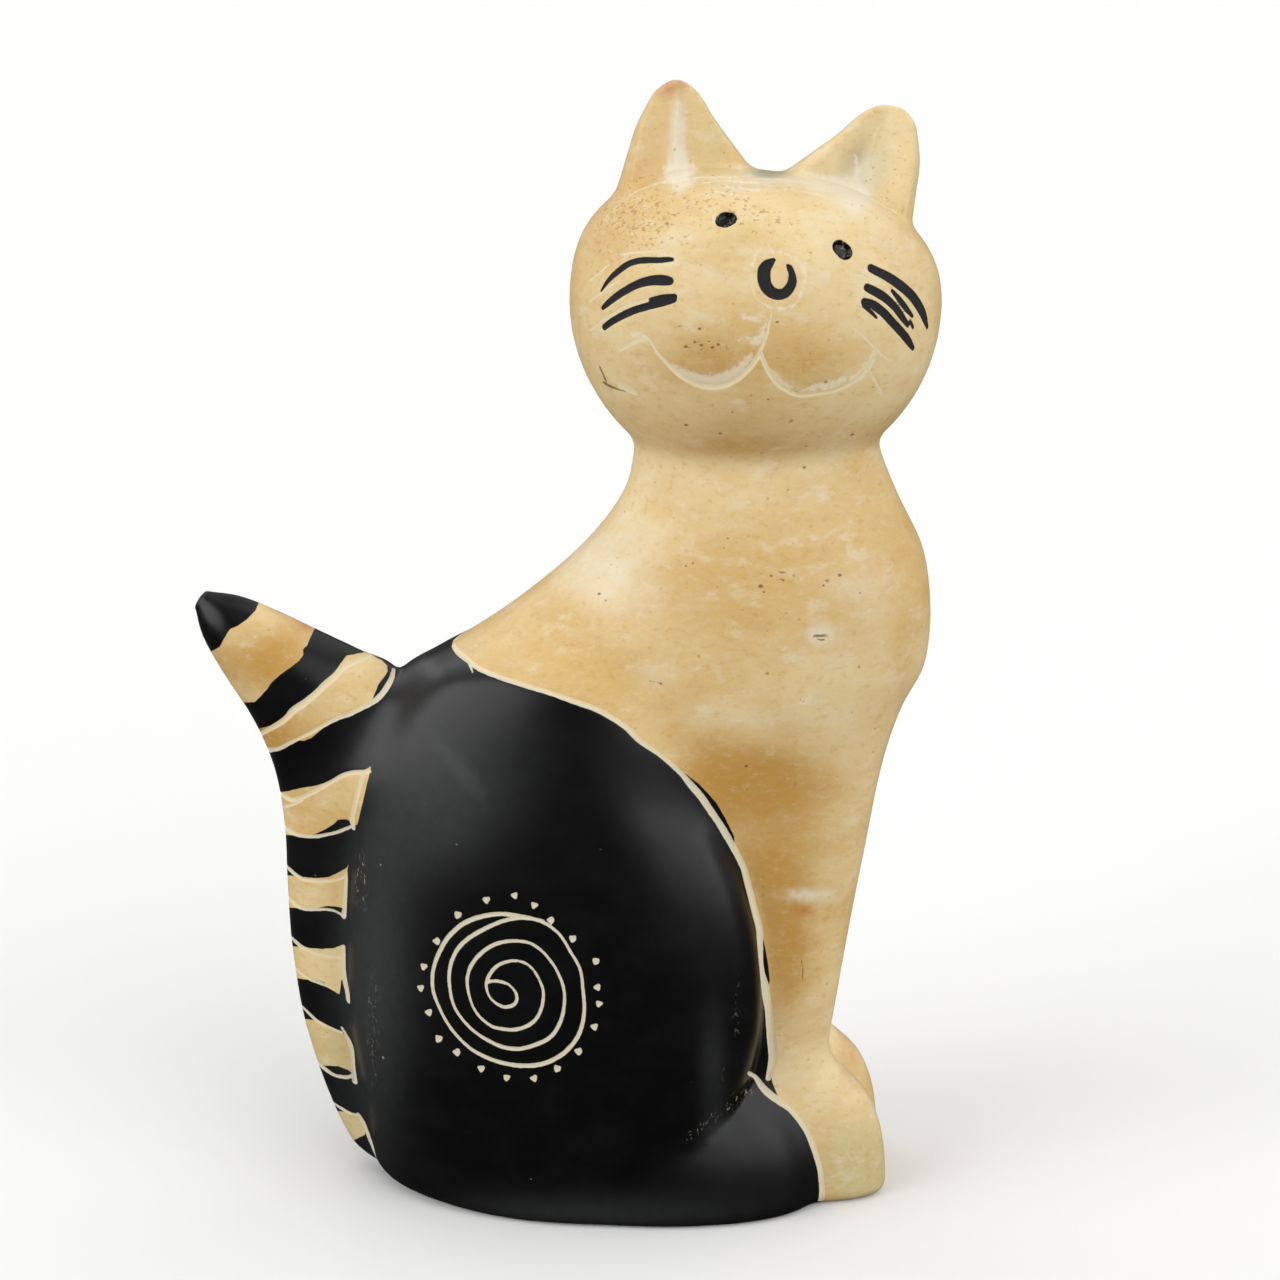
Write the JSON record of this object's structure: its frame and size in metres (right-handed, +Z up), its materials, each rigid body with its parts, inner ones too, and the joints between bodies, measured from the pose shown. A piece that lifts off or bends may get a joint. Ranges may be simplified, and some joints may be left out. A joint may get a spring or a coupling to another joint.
{
  "type": "cat figurine",
  "caption": "Carved soapstone figurine of a sitting cat, its head turned to face the viewer over its flank, with a tapering tail raised behind it.",
  "frame": {"origin": "on the surface that the cat stands on, under the middle of its length and width", "axes": "+Z up, +X from the tail towards the chest, +Y towards the cat's left side, so the face looks along -Y"},
  "size_m": [0.0986, 0.0442, 0.1507],
  "materials": {
    "soapstone": "waxed"
  },
  "bodies": {
    "root": {"cat_figurine": "soapstone"}
  },
  "joints": []
}
